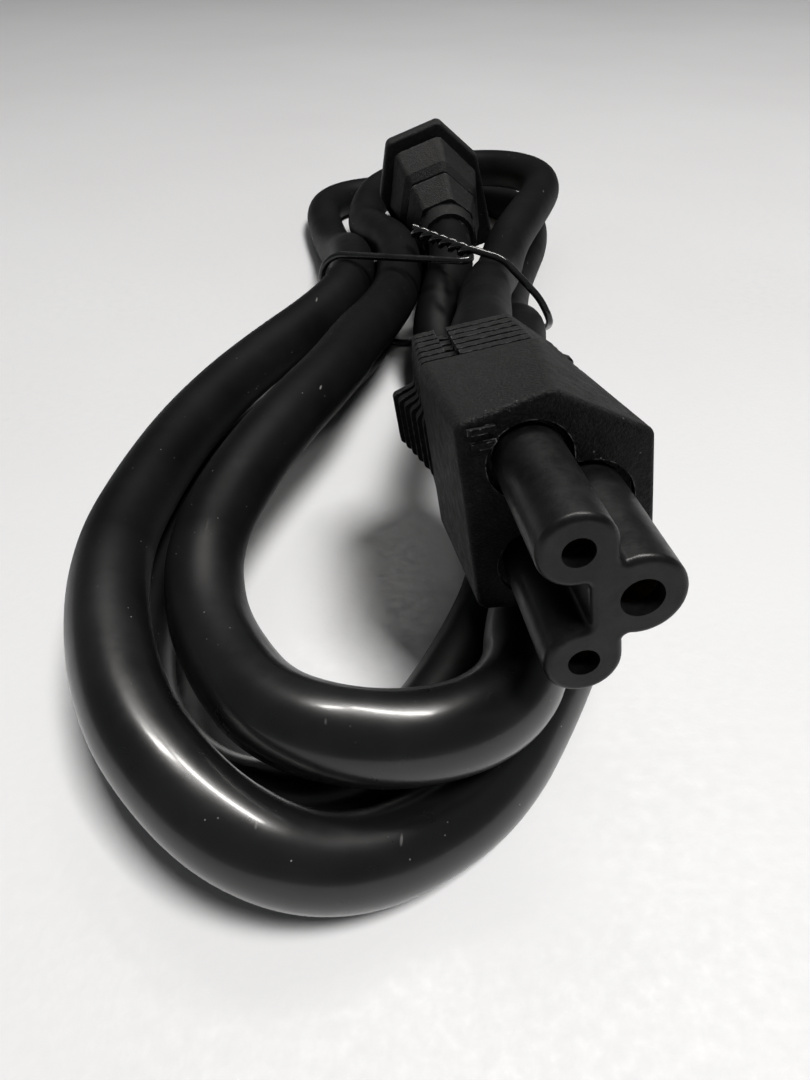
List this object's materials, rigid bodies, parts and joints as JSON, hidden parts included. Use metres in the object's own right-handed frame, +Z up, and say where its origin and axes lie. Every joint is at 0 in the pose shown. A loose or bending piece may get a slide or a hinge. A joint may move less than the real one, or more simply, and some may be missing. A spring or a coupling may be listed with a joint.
{
  "type": "appliance power cord",
  "caption": "Black appliance power cord with a three-lobed connector and a moulded mains plug, coiled into a hank and held by a twist tie.",
  "frame": {"origin": "under the middle of the hank, on the surface it rests on", "axes": "+Z up from the surface, +Y along the hank from the connector's loops to the plug's loops, +X to the right as seen from the connector's end"},
  "size_m": [0.0664, 0.1912, 0.0364],
  "materials": {
    "black_cord": "satin",
    "black_moulding": "fine grain",
    "black_insert": "satin",
    "tie_plastic": "gloss",
    "steel": "bright",
    "brass": "bright",
    "copper": "drawn",
    "core_brown": "smooth",
    "core_blue": "smooth",
    "core_green": "smooth",
    "bridge_plastic": "smooth"
  },
  "bodies": {
    "root": {"cord_jacket": "black_cord", "core_line": "core_brown", "core_neutral": "core_blue", "core_earth": "core_green", "wire_line": "copper", "wire_neutral": "copper", "wire_earth": "copper", "contact_line": "brass", "contact_neutral": "brass", "contact_earth": "brass", "connector_nose": "black_insert", "connector_body": "black_moulding", "plug_body": "black_moulding", "plug_bridge": "bridge_plastic", "blade_line": "brass", "blade_neutral": "brass", "earth_pin": "brass", "tie_cover": "tie_plastic", "tie_wire": "steel"}
  },
  "joints": []
}
